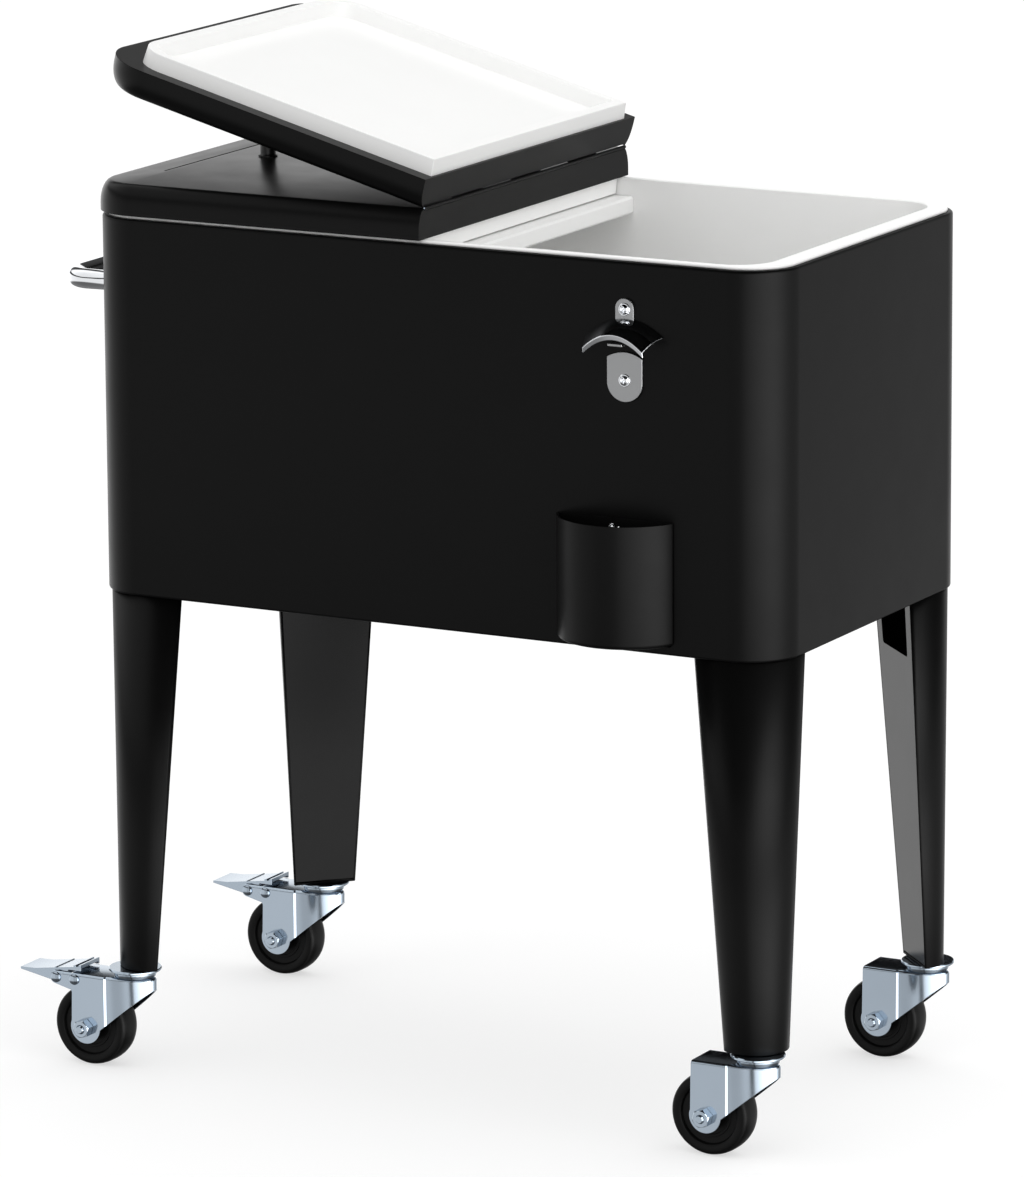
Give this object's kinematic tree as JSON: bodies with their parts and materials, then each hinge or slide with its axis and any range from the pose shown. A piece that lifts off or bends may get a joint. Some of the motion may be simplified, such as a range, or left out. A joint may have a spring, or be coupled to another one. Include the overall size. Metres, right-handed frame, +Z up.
{
  "type": "rolling patio cooler",
  "caption": "Insulated box on tall tapered legs with swivel casters, twin half lids on a centre hinge, end handle, wall bottle opener and cap catcher.",
  "frame": {"origin": "centre of the bounding box, on the floor", "axes": "+X to the right along the body's length, away from the end handle; +Y to the rear, away from the opener; +Z up"},
  "size_m": [0.7724, 0.4344, 0.9424],
  "materials": {
    "black_enamel": "gloss enamel",
    "black_enamel_inside": "enamel, inner plates",
    "white_plastic": "moulded white liner",
    "foam": "rigid foam",
    "zinc": "bright zinc plate",
    "chrome": "polished",
    "stainless": "cast, satin",
    "black_rubber": "solid black wheel",
    "black_plastic": "moulded",
    "grey_plastic": "moulded"
  },
  "bodies": {
    "cooler": {"outer_shell": "black_enamel", "base_pan": "black_enamel", "foam_core": "foam", "tub_liner": "white_plastic", "centre_bar": "white_plastic", "drain_socket": "grey_plastic", "end_handle": "chrome", "bottle_opener": "stainless", "opener_upper_screw": "stainless", "opener_lower_screw": "stainless", "cap_catcher": "black_enamel", "catcher_screw": "stainless", "front_left_leg_shell": "black_enamel", "front_left_leg_brace": "black_enamel_inside", "front_left_caster_mount": "zinc", "front_right_leg_shell": "black_enamel", "front_right_leg_brace": "black_enamel_inside", "front_right_caster_mount": "zinc", "rear_right_leg_shell": "black_enamel", "rear_right_leg_brace": "black_enamel_inside", "rear_right_caster_mount": "zinc", "rear_left_leg_shell": "black_enamel", "rear_left_leg_brace": "black_enamel_inside", "rear_left_caster_mount": "zinc"},
    "left_lid": {"left_lid_shell": "black_enamel", "left_lid_plug": "white_plastic", "left_lid_foam": "foam", "left_lid_knob": "black_plastic", "left_hinge_leaf": "black_enamel", "hinge_pin": "zinc"},
    "right_lid": {"right_lid_shell": "black_enamel", "right_lid_plug": "white_plastic", "right_lid_foam": "foam", "right_lid_knob": "black_plastic", "right_hinge_leaf": "black_enamel"},
    "drain_cap": {"drain_cap": "black_plastic"},
    "front_left_swivel": {"front_left_fork": "zinc", "front_left_axle_bolt": "zinc", "front_left_axle_nut": "zinc", "front_left_pedal_pivot": "zinc", "front_left_shoe_pin": "zinc"},
    "front_left_rolling": {"front_left_wheel": "black_rubber"},
    "front_left_brake": {"front_left_brake_pedal": "zinc"},
    "front_right_swivel": {"front_right_fork": "zinc", "front_right_axle_bolt": "zinc", "front_right_axle_nut": "zinc"},
    "front_right_rolling": {"front_right_wheel": "black_rubber"},
    "rear_right_swivel": {"rear_right_fork": "zinc", "rear_right_axle_bolt": "zinc", "rear_right_axle_nut": "zinc"},
    "rear_right_rolling": {"rear_right_wheel": "black_rubber"},
    "rear_left_swivel": {"rear_left_fork": "zinc", "rear_left_axle_bolt": "zinc", "rear_left_axle_nut": "zinc", "rear_left_pedal_pivot": "zinc", "rear_left_shoe_pin": "zinc"},
    "rear_left_rolling": {"rear_left_wheel": "black_rubber"},
    "rear_left_brake": {"rear_left_brake_pedal": "zinc"}
  },
  "joints": [
    {"name": "left_lid_hinge", "type": "hinge", "parent": "cooler", "child": "left_lid", "pos_m": [0.04275, 0.01815, 0.8199], "axis": [0, -1, 0], "range_deg": [-165, 0]},
    {"name": "right_lid_hinge", "type": "hinge", "parent": "left_lid", "child": "right_lid", "pos_m": [0.04275, 0.01815, 0.8199], "axis": [0, 1, 0], "range_deg": [0, 165]},
    {"name": "drain_cap_turn", "type": "hinge", "parent": "cooler", "child": "drain_cap", "pos_m": [-0.20457, 0.01815, 0.4475], "axis": [0, 0, 1], "range_deg": [0, 90]},
    {"name": "front_left_swivel", "type": "hinge", "parent": "cooler", "child": "front_left_swivel", "pos_m": [-0.27355, -0.15555, 0.087], "axis": [0, 0, 1], "continuous": true},
    {"name": "front_left_roll", "type": "hinge", "parent": "front_left_swivel", "child": "front_left_rolling", "pos_m": [-0.31585, -0.15555, 0.0375], "axis": [0, 1, 0], "continuous": true},
    {"name": "front_left_brake", "type": "hinge", "parent": "front_left_swivel", "child": "front_left_brake", "pos_m": [-0.34625, -0.15555, 0.0815], "axis": [0, 1, 0], "range_deg": [-12, 0]},
    {"name": "front_right_swivel", "type": "hinge", "parent": "cooler", "child": "front_right_swivel", "pos_m": [0.35905, -0.15555, 0.087], "axis": [0, 0, 1], "continuous": true},
    {"name": "front_right_roll", "type": "hinge", "parent": "front_right_swivel", "child": "front_right_rolling", "pos_m": [0.31675, -0.15555, 0.0375], "axis": [0, 1, 0], "continuous": true},
    {"name": "rear_right_swivel", "type": "hinge", "parent": "cooler", "child": "rear_right_swivel", "pos_m": [0.35905, 0.19185, 0.087], "axis": [0, 0, 1], "continuous": true},
    {"name": "rear_right_roll", "type": "hinge", "parent": "rear_right_swivel", "child": "rear_right_rolling", "pos_m": [0.31675, 0.19185, 0.0375], "axis": [0, 1, 0], "continuous": true},
    {"name": "rear_left_swivel", "type": "hinge", "parent": "cooler", "child": "rear_left_swivel", "pos_m": [-0.27355, 0.19185, 0.087], "axis": [0, 0, 1], "continuous": true},
    {"name": "rear_left_roll", "type": "hinge", "parent": "rear_left_swivel", "child": "rear_left_rolling", "pos_m": [-0.31585, 0.19185, 0.0375], "axis": [0, 1, 0], "continuous": true},
    {"name": "rear_left_brake", "type": "hinge", "parent": "rear_left_swivel", "child": "rear_left_brake", "pos_m": [-0.34625, 0.19185, 0.0815], "axis": [0, 1, 0], "range_deg": [-12, 0]}
  ]
}
